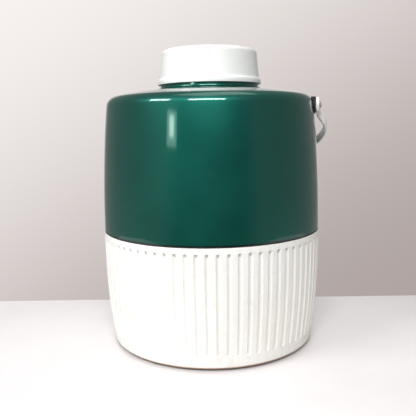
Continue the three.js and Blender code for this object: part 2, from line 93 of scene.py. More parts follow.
def turned_mesh(profile, angles, closed=True, shape=None):
    """Points and faces of a profile of (radius, height) turned round the upright axis.

    shape(angle, r, z, row) may change the radius. A point with no radius becomes one vertex."""
    points = []
    rows = []
    for row, (r, z) in enumerate(profile):
        first = len(points)
        if r < 1e-6:
            points.append((0.0, 0.0, z))
            rows.append([first] * len(angles))
            continue
        for a in angles:
            radius = shape(a, r, z, row) if shape else r
            points.append((radius * math.cos(a), radius * math.sin(a), z))
        rows.append([first + i for i in range(len(angles))])
    faces = []
    pairs = list(zip(rows, rows[1:]))
    if closed:
        pairs.append((rows[-1], rows[0]))
    for low, high in pairs:
        for i in range(len(angles)):
            j = (i + 1) % len(angles)
            corners = [low[i], low[j], high[j], high[i]]
            face = [c for k, c in enumerate(corners) if c != corners[k - 1]]
            if len(face) > 2:
                faces.append(face)
    return points, faces


def even_angles(count=ROUND):
    return [2 * math.pi * i / count for i in range(count)]


def groove_depth(across, z):
    """Depth of a groove with round ends, across millimetres from its middle line."""
    foot = GROOVE_FOOT + GROOVE_HALF_WIDTH
    top = GROOVE_TOP - GROOVE_HALF_WIDTH
    along = max(foot - z, z - top, 0.0)
    away = math.hypot(across, along) / GROOVE_HALF_WIDTH
    return GROOVE_DEPTH * math.cos(away * math.pi / 2) ** 0.8 if away < 1 else 0.0


def grooved(angle, r, z, row):
    if row >= OUTER_ROWS or not GROOVE_FOOT < z < GROOVE_TOP:
        return r
    pitch = 2 * math.pi / GROOVES
    from_middle = (angle - FIRST_GROOVE + pitch / 2) % pitch - pitch / 2
    return r - groove_depth(from_middle * r, z)


foot_radius = base_radius(FOOT_CORNER) - FOOT_CORNER
end_rows = [0.0, 0.25, 0.6, 1.0, 1.5, 2.0, 2.6]
side_heights = sorted(
    {FOOT_CORNER, 7.5, 9.5, 11.5, 13.0, CREST, GROOVE_TOP + 0.2}
    | {GROOVE_FOOT + step for step in end_rows}
    | {GROOVE_TOP - step for step in end_rows}
    | {GROOVE_FOOT + 6 + 5.2 * k for k in range(16)}
)
outer_side = arc(foot_radius, FOOT_CORNER, FOOT_CORNER, -90, 0, 8)[:-1]
outer_side += [(base_radius(z), z) for z in side_heights]
outer_side += [(RIM_RADIUS, BASE_HEIGHT - 1.7), (RIM_RADIUS - 0.05, BASE_HEIGHT - 1.2)]
outer_side += [(RIM_RADIUS - 0.12, BASE_HEIGHT - 0.5), (RIM_RADIUS - 0.32, BASE_HEIGHT - 0.1)]
outer_side += [(SEAM_RADIUS - 0.3, BASE_HEIGHT)]
OUTER_ROWS = len(outer_side)
base_profile = outer_side + [
    (UPSTAND_RADIUS + 0.2, BASE_HEIGHT),
    (UPSTAND_RADIUS, BASE_HEIGHT + 0.3),
    (UPSTAND_RADIUS, UPSTAND_TOP - 0.5),
    (UPSTAND_RADIUS - 0.5, UPSTAND_TOP),
    (UPSTAND_INNER + 0.4, UPSTAND_TOP),
    (UPSTAND_INNER, UPSTAND_TOP - 0.4),
    (UPSTAND_INNER, CREST + 3),
]
base_profile += [(base_radius(z) - BASE_WALL, z) for z in (CREST, 85, 70, 55, 40, 25, 12)]
base_profile += arc(base_radius(11) - BASE_WALL - 6, FLOOR_TOP + 6, 6, -10, -90, 6)
base_profile += [
    (FILL_HOLE + 0.4, FLOOR_TOP),
    (FILL_HOLE, FLOOR_TOP - 0.4),
    (FILL_HOLE, FOOT_RECESS + 0.3),
    (FILL_HOLE + 0.3, FOOT_RECESS),
    (foot_radius - FOOT_RING - 2.4, FOOT_RECESS),
    (foot_radius - FOOT_RING - 1.2, 1.4),
    (foot_radius - FOOT_RING - 0.5, 0.3),
    (foot_radius - FOOT_RING, 0.0),
]
half_steps = [0.25, 0.5, 0.75, 1.0, 1.2, 1.7]  # degrees from a groove's middle line
groove_steps = np.radians([-2.5] + [-step for step in reversed(half_steps)] + [0.0] + half_steps)
base_angles = [
    FIRST_GROOVE + 2 * math.pi * k / GROOVES + step for k in range(GROOVES) for step in groove_steps
]
base = add_piece("base_moulding", *turned_mesh(base_profile, base_angles, shape=grooved))


class Recipe:
    """A material's node tree, with short ways to add and join its nodes."""

    def __init__(self, name, roughness, specular=0.5, metallic=0.0):
        self.material = bpy.data.materials.new(name)
        self.material.use_nodes = True
        self.nodes = self.material.node_tree.nodes
        self.links = self.material.node_tree.links
        self.shader = self.nodes["Principled BSDF"]
        self.set("Roughness", roughness)
        self.set("Specular IOR Level", specular)
        self.set("Metallic", metallic)
        self.place = self.nodes.new("ShaderNodeTexCoord").outputs["Object"]

    def set(self, socket, value):
        self.shader.inputs[socket].default_value = value

    def join(self, output, socket):
        self.links.new(output, self.shader.inputs[socket])

    def stretched(self, scale):
        """Object coordinates scaled differently along X, Y and Z."""
        node = self.nodes.new("ShaderNodeMapping")
        node.inputs["Scale"].default_value = scale
        self.links.new(self.place, node.inputs["Vector"])
        return node.outputs["Vector"]

    def noise(self, scale, detail=4.0, place=None):
        node = self.nodes.new("ShaderNodeTexNoise")
        node.inputs["Scale"].default_value = scale
        node.inputs["Detail"].default_value = detail
        self.links.new(place or self.place, node.inputs["Vector"])
        return node.outputs["Fac"]

    def cells(self, scale):
        node = self.nodes.new("ShaderNodeTexVoronoi")
        node.inputs["Scale"].default_value = scale
        self.links.new(self.place, node.inputs["Vector"])
        return node.outputs["Distance"]

    def spread(self, value, low, high, to_low=0.0, to_high=1.0):
        """A value eased from to_low, where it is at most low, to to_high, where it is at least high."""
        node = self.nodes.new("ShaderNodeMapRange")
        node.interpolation_type = "SMOOTHSTEP"
        for socket, number in zip(("From Min", "From Max"), (low, high)):
            node.inputs[socket].default_value = number
        for socket, number in zip(("To Min", "To Max"), (to_low, to_high)):
            node.inputs[socket].default_value = number
        self.links.new(value, node.inputs["Value"])
        return node.outputs["Result"]

    def by_height(self, low, high, to_low=0.0, to_high=1.0):
        """Spread over heights in millimetres above the surface that the object stands on."""
        node = self.nodes.new("ShaderNodeSeparateXYZ")
        self.links.new(self.place, node.inputs["Vector"])
        return self.spread(node.outputs["Z"], MM * low, MM * high, to_low, to_high)

    def calculate(self, operation, first, second):
        """A calculation with two values, each a number or an output."""
        node = self.nodes.new("ShaderNodeMath")
        node.operation = operation
        for socket, value in zip(node.inputs, (first, second)):
            if isinstance(value, (int, float)):
                socket.default_value = value
            else:
                self.links.new(value, socket)
        return node.outputs["Value"]

    def times(self, first, second):
        return self.calculate("MULTIPLY", first, second)

    def spokes(self, count, first_angle, half_width):
        """1 on the middle line of each of count spokes round Z, 0 from half_width radians away."""
        node = self.nodes.new("ShaderNodeSeparateXYZ")
        self.links.new(self.place, node.inputs["Vector"])
        angle = self.calculate("ARCTAN2", node.outputs["Y"], node.outputs["X"])
        turns = self.times(self.calculate("SUBTRACT", angle, first_angle), count / math.tau)
        away = self.calculate("PINGPONG", turns, 0.5)
        return self.spread(away, 0.0, half_width * count / math.tau, 1.0, 0.0)

    def vary_roughness(self, scale, detail, low, high):
        self.join(self.spread(self.noise(scale, detail), 0.3, 0.7, low, high), "Roughness")

    def blend(self, factor, a, b):
        """Colour a where factor is 0 and b where it is 1; each is a colour or an output."""
        node = self.nodes.new("ShaderNodeMix")
        node.data_type = "RGBA"
        self.links.new(factor, node.inputs["Factor"])
        for socket, colour in (("A", a), ("B", b)):
            slot = [s for s in node.inputs if s.name == socket and s.type == "RGBA"][0]
            if isinstance(colour, tuple):
                slot.default_value = (*colour, 1.0)
            else:
                self.links.new(colour, slot)
        return [s for s in node.outputs if s.type == "RGBA"][0]

    def bump(self, heights):
        """Bumps stacked on each other, each a pair of an output and its depth in metres."""
        below = None
        for output, depth in heights:
            node = self.nodes.new("ShaderNodeBump")
            node.inputs["Distance"].default_value = depth
            self.links.new(output, node.inputs["Height"])
            if below:
                self.links.new(below, node.inputs["Normal"])
            below = node.outputs["Normal"]
        self.join(below, "Normal")

    def paint(self, *pieces):
        for piece in pieces:
            piece.data.materials.clear()
            piece.data.materials.append(self.material)


grained = Recipe("grained_white_plastic", roughness=0.5, specular=0.4)
grain_mask = grained.by_height(GROOVE_TOP - 0.4, GROOVE_TOP + 1.0, 1.0, 0.12)
pebbles = grained.times(grained.cells(750.0), grain_mask)
speckle = grained.times(grained.noise(1500.0, 3.0), grain_mask)
yellowing = grained.spread(grained.noise(9.0, 3.0), 0.35, 0.75)
scuffs = grained.spread(grained.noise(60.0, 8.0), 0.58, 0.74)
# Round the foot: a brown band that is partly grime and partly painted shade, and below it a near-black
# band of painted shade where the foot meets the table.
foot_grime_and_shade = grained.by_height(2.6, 4.4, 1.0, 0.0)
foot_shade = grained.by_height(1.0, 3.2, 1.0, 0.0)
fresh = grained.blend(yellowing, (0.83, 0.825, 0.795), (0.79, 0.775, 0.725))
tone = grained.blend(grained.times(scuffs, 0.35), fresh, (0.66, 0.63, 0.57))
# Painted shade in the grooves: each groove is darkened a little along its length, and much more at its
# top end, where the overhanging end would shade it.
in_groove = grained.spokes(GROOVES, FIRST_GROOVE, GROOVE_HALF_WIDTH / RIM_RADIUS)
below_top = grained.by_height(GROOVE_TOP - 4.0, GROOVE_TOP - 2.2)
above_top = grained.by_height(GROOVE_TOP - 1.0, GROOVE_TOP, 1.0, 0.0)
groove_top_painted_shade = grained.times(grained.times(in_groove, below_top), above_top)
tone = grained.blend(grained.times(groove_top_painted_shade, 0.7), tone, (0.2, 0.19, 0.17))
tone = grained.blend(grained.times(in_groove, 0.1), tone, (0.5, 0.49, 0.46))
# Brown grime and painted shade round the foot, then near-black painted shade at its very bottom.
tone = grained.blend(grained.times(foot_grime_and_shade, 0.9), tone, (0.3, 0.15, 0.06))
tone = grained.blend(grained.times(foot_shade, 0.9), tone, (0.04, 0.025, 0.015))
grained.join(tone, "Base Color")
grained.vary_roughness(35.0, 5.0, 0.42, 0.6)
grained.bump([(pebbles, 0.00035), (speckle, 0.00012)])
grained.paint(base)
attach(base, "vessel")
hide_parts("base")

# ---- Fill plug ----
# A push-in plug of the base's plastic. It closes the hole in the underside that the foam was
# poured through, and its flange stays just above the table.

PLUG_FACE = 0.9
PLUG_RADIUS = 8.7
PLUG_FLANGE_RADIUS = 13.0
PLUG_TOP = 9.0

plug_profile = [(0.0, PLUG_FACE), (PLUG_FLANGE_RADIUS - 0.5, PLUG_FACE)]
plug_profile += arc(PLUG_FLANGE_RADIUS - 0.4, PLUG_FACE + 0.4, 0.4, -80, 0, 4)
plug_profile += [
    (PLUG_FLANGE_RADIUS, FOOT_RECESS - 0.15),
    (PLUG_FLANGE_RADIUS - 0.1, FOOT_RECESS - 0.1),
    (PLUG_RADIUS, FOOT_RECESS - 0.1),
    (PLUG_RADIUS, PLUG_TOP - 1.2),
    (PLUG_RADIUS - 0.8, PLUG_TOP),
    (0.0, PLUG_TOP),
]
fill_plug = add_piece("fill_plug_moulding", *turned_mesh(plug_profile, even_angles(96), closed=False))
grained.paint(fill_plug)
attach(fill_plug, "vessel")
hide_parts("fill_plug")

# ---- Liner ----
# A blow-moulded polyethylene bottle, translucent white, that holds the drink. Its flange rests on
# the jacket's collar, and a single-start thread runs round its neck.

LINER_RADIUS = 78.5
LINER_WALL = 2.0
LINER_FLOOR = 26.0
LINER_CORNER = 10.0
LINER_BEND = 8.0
LINER_BEND_Z = 200.93
LINER_SLOPE = 20.0  # degrees, from the bend up to the neck
NECK_BLEND = 3.0
NECK_RADIUS = 38.0
NECK_OUTER = NECK_RADIUS + LINER_WALL
FLANGE_RADIUS = 46.9
FLANGE_FOOT = 249.83
FLANGE_TOP = 251.23
NECK_TOP = 268.03
THREAD_PITCH = 8.0
THREAD_TURNS = 1.25
THREAD_HEIGHT = 1.4
THREAD_WIDTH = 2.4
THREAD_FOOT = FLANGE_TOP + 4.2
THREAD_END_HEIGHT = 0.15  # share of its height at which a ridge starts and ends
THREAD_RUN_OUT = 12  # how fast it rises to its full height from there
THREAD_STEPS = 96  # a turn


def liner_side(wall):
    """The liner from its floor's middle to its neck, moved outwards by wall."""
    corner_r = LINER_RADIUS - LINER_CORNER
    side = [(0.0, LINER_FLOOR - wall)]
    side += arc(corner_r, LINER_FLOOR + LINER_CORNER, LINER_CORNER + wall, -90, 0, 10)
    side += arc(LINER_RADIUS - LINER_BEND, LINER_BEND_Z, LINER_BEND + wall, 0, 90 - LINER_SLOPE, 10)
    bend_r, bend_z = side[-1]
    neck_r = NECK_RADIUS + wall
    blend_z = bend_z + (bend_r - neck_r - NECK_BLEND) * math.tan(math.radians(LINER_SLOPE))
    side.append((neck_r + NECK_BLEND, blend_z))
    side += [(neck_r + 1.2, blend_z + 0.9), (neck_r + 0.3, blend_z + 2)]
    side.append((neck_r, blend_z + 3.5))
    return side


def thread_ridge(wall_radius, side, foot, start_angle):
    """A helical ridge on a wall, outwards if side is 1 and inwards if it is -1."""
    section = [(-0.5, -0.62), (0.0, -0.52), (0.45, -0.42), (0.85, -0.3), (1.0, -0.16)]
    section += [(r, -z) for r, z in reversed(section)]
    steps = int(THREAD_STEPS * THREAD_TURNS)
    points, rings = [], []
    for i in range(steps + 1):
        t = i / steps
        angle = start_angle + 2 * math.pi * THREAD_TURNS * t
        run_out = min(1.0, THREAD_END_HEIGHT + THREAD_RUN_OUT * min(t, 1 - t))
        rings.append([len(points) + k for k in range(len(section))])
        for out, up in section:
            rise = out * THREAD_HEIGHT * run_out if out > 0 else out
            radius = wall_radius + side * rise
            z = foot + THREAD_PITCH * THREAD_TURNS * t + up * THREAD_WIDTH
            points.append((radius * math.cos(angle), radius * math.sin(angle), z))
    faces = [list(reversed(rings[0])), rings[-1]]
    for low, high in zip(rings, rings[1:]):
        for k in range(len(section)):
            m = (k + 1) % len(section)
            faces.append([low[k], low[m], high[m], high[k]])
    if side < 0:
        faces = [list(reversed(face)) for face in faces]
    return points, faces


def joined(*meshes):
    """Points and faces of several meshes as one."""
    points, faces = [], []
    for more_points, more_faces in meshes:
        faces += [[len(points) + i for i in face] for face in more_faces]
        points += more_points
    return points, faces


liner_profile = liner_side(LINER_WALL) + [
    (NECK_OUTER, FLANGE_FOOT - 0.3),
    (NECK_OUTER + 0.3, FLANGE_FOOT),
    (FLANGE_RADIUS - 0.4, FLANGE_FOOT),
    (FLANGE_RADIUS, FLANGE_FOOT + 0.4),
    (FLANGE_RADIUS, FLANGE_TOP - 0.4),
    (FLANGE_RADIUS - 0.4, FLANGE_TOP),
    (NECK_OUTER + 0.5, FLANGE_TOP),
    (NECK_OUTER, FLANGE_TOP + 0.5),
]
liner_profile += arc(NECK_OUTER - 0.9, NECK_TOP - 0.9, 0.9, 0, 90, 4)
liner_profile += arc(NECK_RADIUS + 0.9, NECK_TOP - 0.9, 0.9, 90, 180, 4)
liner_profile += list(reversed(liner_side(0.0)))
liner = add_piece(
    "liner_bottle",
    *joined(
        turned_mesh(liner_profile, even_angles(), closed=False),
        thread_ridge(NECK_OUTER, 1, THREAD_FOOT, 0.0),
    ),
)
milky = Recipe("milky_polyethylene", roughness=0.42, specular=0.45)
milky_tone = milky.blend(
    milky.spread(milky.noise(14.0, 5.0), 0.3, 0.7), (0.8, 0.81, 0.78), (0.74, 0.74, 0.69)
)
milky.join(milky_tone, "Base Color")
milky.set("Subsurface Weight", 0.15)
milky.set("Subsurface Radius", (0.004, 0.004, 0.003))
milky.vary_roughness(80.0, 6.0, 0.36, 0.5)
milky.bump([(milky.noise(220.0, 3.0), 0.00008)])
milky.paint(liner)
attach(liner, "vessel")
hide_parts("liner")

# ---- Foam ----
# Yellowish rigid foam, poured as a liquid between liner, base and jacket, where it sets and glues
# the jug together. Nothing of it shows from outside, so its plain solid stays.

foam = Recipe("rigid_foam", roughness=0.95, specular=0.2)
pores = foam.cells(900.0)
foam.join(foam.blend(foam.spread(pores, 0.1, 0.7), (0.62, 0.5, 0.27), (0.84, 0.75, 0.49)), "Base Color")
foam.vary_roughness(300.0, 3.0, 0.85, 1.0)
foam.bump([(pores, 0.0004), (foam.noise(90.0, 4.0), 0.0006)])
foam.paint(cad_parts["foam_body"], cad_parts["cap_foam"])

# ---- Seam seal ----
# A thin black rubber ring round the upstand. It closes the seam between base and jacket, where
# it shows as a dark line.

SEAL_FOOT = 109.5
SEAL_TOP = 110.2
SEAL_INNER = 103.8
SEAL_OUTER = 105.1

seal_profile = [(SEAL_INNER, SEAL_FOOT), (SEAL_OUTER - 0.2, SEAL_FOOT)]
seal_profile += arc(SEAL_OUTER - 0.3, (SEAL_FOOT + SEAL_TOP) / 2, 0.3, -60, 60, 4)
seal_profile += [(SEAL_OUTER - 0.2, SEAL_TOP), (SEAL_INNER, SEAL_TOP)]
seam_seal = add_piece("seam_seal_ring", *turned_mesh(seal_profile, even_angles()))
black_rubber = Recipe("black_rubber", roughness=0.6, specular=0.4)
rubber_dust = black_rubber.spread(black_rubber.noise(120.0, 6.0), 0.5, 0.75)
black_rubber.join(
    black_rubber.blend(rubber_dust, (0.008, 0.008, 0.009), (0.035, 0.033, 0.032)), "Base Color"
)
black_rubber.vary_roughness(200.0, 4.0, 0.5, 0.75)
black_rubber.bump([(black_rubber.noise(900.0, 3.0), 0.00006)])
black_rubber.paint(seam_seal)
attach(seam_seal, "vessel")
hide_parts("seam_seal")

# ---- Jacket ----
# Thin sheet steel, drawn in one piece from the seam over the shoulder to the collar, and sprayed
# with dark green metallic paint under a glossy clear coat. The foam holds it to the base.

JACKET_FOOT = 110.3
JACKET_HEIGHT = 117.7
JACKET_TAPER = 6.0
JACKET_WALL = 0.8
SHOULDER_BEND = 10.0
DOME_FOOT_SLOPE = 13.3
DOME_TOP_SLOPE = 2.6
COLLAR_RADIUS = 47.3
COLLAR_BLEND = 2.2
COLLAR_TOP = 248.62

shoulder_start = JACKET_FOOT + JACKET_HEIGHT
bend_lean = math.atan(2.1 * JACKET_TAPER / JACKET_HEIGHT)
bend_r = SEAM_RADIUS - JACKET_TAPER - SHOULDER_BEND * math.cos(bend_lean)
bend_z = shoulder_start - SHOULDER_BEND * math.sin(bend_lean)
dome_foot_r = bend_r + SHOULDER_BEND * math.sin(math.radians(DOME_FOOT_SLOPE))
dome_foot_z = bend_z + SHOULDER_BEND * math.cos(math.radians(DOME_FOOT_SLOPE))
dome_width = dome_foot_r - COLLAR_RADIUS
foot_tangent = math.tan(math.radians(DOME_FOOT_SLOPE))
dome_rise = dome_width * (foot_tangent + math.tan(math.radians(DOME_TOP_SLOPE))) / 2


def jacket_radius(z):
    """Outside radius of the jacket's side, up to the top of the shoulder bend."""
    if z > shoulder_start:
        return bend_r + math.sqrt(SHOULDER_BEND**2 - (z - bend_z) ** 2)
    return SEAM_RADIUS - JACKET_TAPER * max(0.0, (z - JACKET_FOOT) / JACKET_HEIGHT) ** 2.1


def jacket_side(inset):
    """The jacket's surface from foot to collar, moved inwards by inset."""
    side = [
        (jacket_radius(z) - inset, z)
        for z in np.linspace(JACKET_FOOT + 0.4, shoulder_start, 30)
    ]
    bend_start = math.degrees(bend_lean)
    side += arc(bend_r, bend_z, SHOULDER_BEND - inset, bend_start, 90 - DOME_FOOT_SLOPE, 14)[1:]
    last = 1 - COLLAR_BLEND / dome_width
    for share in np.linspace(0, last, 16)[1:]:
        climb = dome_width * foot_tangent * share * (1 - share)
        height = dome_foot_z + climb + dome_rise * share**2
        side.append((dome_foot_r - dome_width * share, height - inset))
    top_r, top_z = side[-1]
    centre_z = top_z + COLLAR_BLEND
    side += arc(top_r, centre_z, COLLAR_BLEND, -96, -180, 8)[1:]
    return side


outside = jacket_side(0.0)
inside = jacket_side(JACKET_WALL)
jacket_profile = [(SEAM_RADIUS - 0.35, JACKET_FOOT), (SEAM_RADIUS - 0.06, JACKET_FOOT + 0.12)]
jacket_profile += outside
jacket_profile += [(COLLAR_RADIUS, COLLAR_TOP - 0.25), (COLLAR_RADIUS - 0.25, COLLAR_TOP)]
jacket_profile += [(COLLAR_RADIUS - JACKET_WALL, COLLAR_TOP)]
jacket_profile += list(reversed(inside))
jacket_profile += [(SEAM_RADIUS - JACKET_WALL, JACKET_FOOT)]
jacket = add_piece("jacket_shell", *turned_mesh(jacket_profile, even_angles()))

green = Recipe("green_metallic_paint", roughness=0.4, specular=0.15, metallic=0.68)
patch = green.spread(green.noise(6.0, 3.0), 0.3, 0.7)
flakes = green.spread(green.cells(2600.0), 0.0, 0.6)
tone = green.blend(patch, (0.002, 0.076, 0.057), (0.003, 0.09, 0.068))
tone = green.blend(green.times(flakes, 0.25), tone, (0.006, 0.14, 0.107))
# Painted shade along the jacket's foot: its lowest couple of millimetres go nearly black, as the shadow
# in the seam above the base.
seam_painted_shade = green.by_height(JACKET_FOOT + 0.5, JACKET_FOOT + 1.9, 1.0, 0.0)
tone = green.blend(green.times(seam_painted_shade, 0.9), tone, (0.002, 0.005, 0.004))
rubbed = green.spread(green.noise(130.0, 9.0, green.stretched((1.0, 1.0, 0.25))), 0.66, 0.76)
tone = green.blend(green.times(rubbed, 0.3), tone, (0.03, 0.12, 0.1))
green.join(tone, "Base Color")
green.vary_roughness(26.0, 6.0, 0.36, 0.46)
green.set("Coat Weight", 1.0)
green.set("Coat Roughness", 0.07)
green.set("Coat IOR", 1.5)
green.bump([(green.noise(55.0, 2.0), 0.00005), (green.noise(700.0, 2.0), 0.000006)])
green.paint(jacket)
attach(jacket, "vessel")
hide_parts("jacket")

# ---- Neck seal ----
# A flat grey rubber ring between the jacket's collar and the liner's flange. It keeps spilt drink
# out of the foam.

NECK_SEAL_FOOT = 248.73
NECK_SEAL_TOP = 249.73

neck_seal_profile = [(NECK_OUTER + 0.3, NECK_SEAL_FOOT), (FLANGE_RADIUS - 0.3, NECK_SEAL_FOOT)]
neck_seal_profile += arc(FLANGE_RADIUS - 0.5, (NECK_SEAL_FOOT + NECK_SEAL_TOP) / 2, 0.5, -70, 70, 5)
neck_seal_profile += [(FLANGE_RADIUS - 0.3, NECK_SEAL_TOP), (NECK_OUTER + 0.3, NECK_SEAL_TOP)]
neck_seal = add_piece("neck_seal_ring", *turned_mesh(neck_seal_profile, even_angles(192)))
grey_rubber = Recipe("grey_rubber", roughness=0.65, specular=0.35)
grey_tone = grey_rubber.spread(grey_rubber.noise(70.0, 5.0), 0.35, 0.7)
grey_rubber.join(grey_rubber.blend(grey_tone, (0.25, 0.26, 0.25), (0.34, 0.34, 0.33)), "Base Color")
grey_rubber.vary_roughness(160.0, 4.0, 0.55, 0.75)
grey_rubber.bump([(grey_rubber.noise(800.0, 3.0), 0.00006)])
grey_rubber.paint(neck_seal)
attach(neck_seal, "vessel")
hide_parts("neck_seal")

# ---- Pivots ----
# On each side a rivet runs through a steel backing plate, the jacket, a black rubber spacer and the
# handle's ear. The spacer is saddle-shaped to fit the jacket, and the rivet's domed head is outside.

PIVOT_HEIGHT = 225.8
RIVET_HOLE = 2.1
SPACER_RADIUS = 8.0
SPACER_FACE = 101.03
EAR_FACE = 101.33
EAR_THICKNESS = 3.4
RIVET_RADIUS = 1.8
RIVET_HEAD_RADIUS = 3.0
RIVET_HEAD_FACE = EAR_FACE + EAR_THICKNESS + 0.3
RIVET_HEAD_HEIGHT = 1.3
HEAD_EDGE = 0.35  # height of the head where its dome begins
RIVET_TAIL = 96.2


def across_jug(points, side):
    """Turns points about the upright axis so that Z becomes X, on the side named by 1 or -1."""
    return [(side * z, side * y, PIVOT_HEIGHT + x) for x, y, z in points]


def spacer_mesh(side):
    """A disc whose inner face follows the jacket at a small gap."""
    count = 96
    rings = [(RIVET_HOLE, None), (RIVET_HOLE, -0.25), (RIVET_HOLE + 0.25, 0.0)]
    rings += [(SPACER_RADIUS - 0.6, 0.0), (SPACER_RADIUS - 0.18, -0.18), (SPACER_RADIUS, -0.6)]
    rings += [(SPACER_RADIUS, None), (SPACER_RADIUS * 0.5, None)]
    points, faces = [], []
    for radius, depth in rings:
        for i in range(count):
            a = 2 * math.pi * i / count
            y, z = radius * math.cos(a), radius * math.sin(a)
            saddle = math.sqrt(jacket_radius(PIVOT_HEIGHT + z) ** 2 - y**2) + 0.3
            x = saddle if depth is None else SPACER_FACE + depth
            points.append((side * x, side * y, PIVOT_HEIGHT + z))
    for ring in range(len(rings)):
        for i in range(count):
            j = (i + 1) % count
            low, high = ring * count, (ring + 1) % len(rings) * count
            faces.append([low + i, low + j, high + j, high + i])
    return points, faces


def rivet_mesh(side):
    head_dome = RIVET_HEAD_HEIGHT - HEAD_EDGE
    head = [(0.0, RIVET_HEAD_FACE + RIVET_HEAD_HEIGHT)]
    head += [
        (RIVET_HEAD_RADIUS * math.sin(a), RIVET_HEAD_FACE + HEAD_EDGE + head_dome * math.cos(a))
        for a in np.radians(np.linspace(12, 90, 10))
    ]
    head += [(RIVET_HEAD_RADIUS, RIVET_HEAD_FACE + 0.1), (RIVET_HEAD_RADIUS - 0.1, RIVET_HEAD_FACE)]
    shank = [(RIVET_RADIUS, RIVET_HEAD_FACE), (RIVET_RADIUS, RIVET_TAIL)]
    tail = [(RIVET_HEAD_RADIUS - 0.2, RIVET_TAIL), (RIVET_HEAD_RADIUS, RIVET_TAIL - 0.3)]
    tail += [(RIVET_HEAD_RADIUS - 0.3, RIVET_TAIL - 1.1), (0.0, RIVET_TAIL - 1.3)]
    points, faces = turned_mesh(head + shank + tail, even_angles(64), closed=False)
    return across_jug(points, side), faces


rivet_metal = Recipe("tarnished_rivet", roughness=0.35, metallic=1.0)
tarnish = rivet_metal.spread(rivet_metal.noise(500.0, 6.0), 0.35, 0.7)
rivet_metal.join(rivet_metal.blend(tarnish, (0.5, 0.4, 0.3), (0.24, 0.15, 0.09)), "Base Color")
rivet_metal.vary_roughness(350.0, 5.0, 0.25, 0.55)
rivet_metal.bump([(rivet_metal.noise(900.0, 4.0), 0.00004)])

plate_steel = Recipe("zinc_plated_steel", roughness=0.4, metallic=1.0)
spangle = plate_steel.spread(plate_steel.cells(260.0), 0.1, 0.8)
plate_steel.join(plate_steel.blend(spangle, (0.6, 0.59, 0.57), (0.46, 0.46, 0.46)), "Base Color")
plate_steel.vary_roughness(180.0, 4.0, 0.32, 0.5)
plate_steel.bump([(plate_steel.noise(600.0, 3.0), 0.00003)])

for side, where in ((-1, "left"), (1, "right")):
    spacer = add_piece(f"spacer_{where}", *spacer_mesh(side))
    black_rubber.paint(spacer)
    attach(spacer, "vessel")
    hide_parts(f"pivot_spacer_{where}")

    rivet = add_piece(f"rivet_{where}", *rivet_mesh(side))
    rivet_metal.paint(rivet)
    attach(rivet, "vessel")
    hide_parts(f"pivot_rivet_{where}")

    plate_steel.paint(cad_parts[f"backing_plate_{where}"])

# ---- Cap insert ----
# The threaded inner cup of the cap, moulded in the liner's plastic. Its rim is welded inside the
# outer cup, and foam fills the space between the two.

INSERT_FOOT = FLANGE_TOP + 0.7
INSERT_TOP = 269.93
INSERT_RADIUS = 42.0
INSERT_WALL = 1.6
INSERT_RIM = 45.4

insert_outer = INSERT_RADIUS + INSERT_WALL
insert_profile = [(0.0, INSERT_TOP), (INSERT_RADIUS - 0.5, INSERT_TOP)]
insert_profile += [(INSERT_RADIUS, INSERT_TOP - 0.5), (INSERT_RADIUS, INSERT_FOOT + 0.4)]
insert_profile += [(INSERT_RADIUS + 0.4, INSERT_FOOT), (INSERT_RIM - 0.3, INSERT_FOOT)]
insert_profile += [(INSERT_RIM, INSERT_FOOT + 0.3), (INSERT_RIM, INSERT_FOOT + INSERT_WALL)]
insert_profile += [(insert_outer + 0.3, INSERT_FOOT + INSERT_WALL)]
insert_profile += [(insert_outer, INSERT_FOOT + INSERT_WALL + 0.3)]
insert_profile += arc(insert_outer - 1.5, INSERT_TOP + INSERT_WALL - 1.5, 1.5, 0, 90, 5)
insert_profile += [(0.0, INSERT_TOP + INSERT_WALL)]
cap_thread_foot = INSERT_FOOT + 1.2 * THREAD_WIDTH
below_neck_ridge = THREAD_FOOT - THREAD_WIDTH - 0.3
cap_thread_start = 2 * math.pi * (cap_thread_foot - below_neck_ridge) / THREAD_PITCH
cap_insert = add_piece(
    "cap_inner_cup",
    *joined(
        turned_mesh(insert_profile, even_angles(192), closed=False),
        thread_ridge(INSERT_RADIUS, -1, cap_thread_foot, cap_thread_start),
    ),
)
milky.paint(cap_insert)
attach(cap_insert, "cap")
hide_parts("cap_insert")

# ---- Cap gasket ----
# A grey rubber ring that lies in the top of the inner cup. The neck's rim seals against it.

GASKET_FOOT = NECK_TOP + 0.1
GASKET_TOP = GASKET_FOOT + 1.7
GASKET_INNER = 37.5
GASKET_OUTER = 41.7

gasket_profile = [(GASKET_INNER, GASKET_FOOT + 0.3), (GASKET_INNER + 0.3, GASKET_FOOT)]
gasket_profile += [(GASKET_OUTER - 0.3, GASKET_FOOT), (GASKET_OUTER, GASKET_FOOT + 0.3)]
gasket_profile += [(GASKET_OUTER, GASKET_TOP - 0.3), (GASKET_OUTER - 0.3, GASKET_TOP)]
gasket_profile += [(GASKET_INNER + 0.3, GASKET_TOP), (GASKET_INNER, GASKET_TOP - 0.3)]
cap_gasket = add_piece("cap_gasket_ring", *turned_mesh(gasket_profile, even_angles(192)))
grey_rubber.paint(cap_gasket)
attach(cap_gasket, "cap_riser")
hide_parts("cap_gasket")

# ---- Cap shell ----
# The outer cup of the screw cap, moulded in glossy white plastic. It tapers a little, its top edge
# is well rounded, and a lip at its foot covers the collar.

CAP_FOOT = 247.03
CAP_TOP = 280.02
CAP_RADIUS = 47.8
CAP_TAPER = 2.1
CAP_WALL = 1.8
CAP_CORNER = 4.5
CAP_DOME = 0.7
LIP_RADIUS = 49.4
LIP_TOP = 251.53
LIP_WALL = 1.5

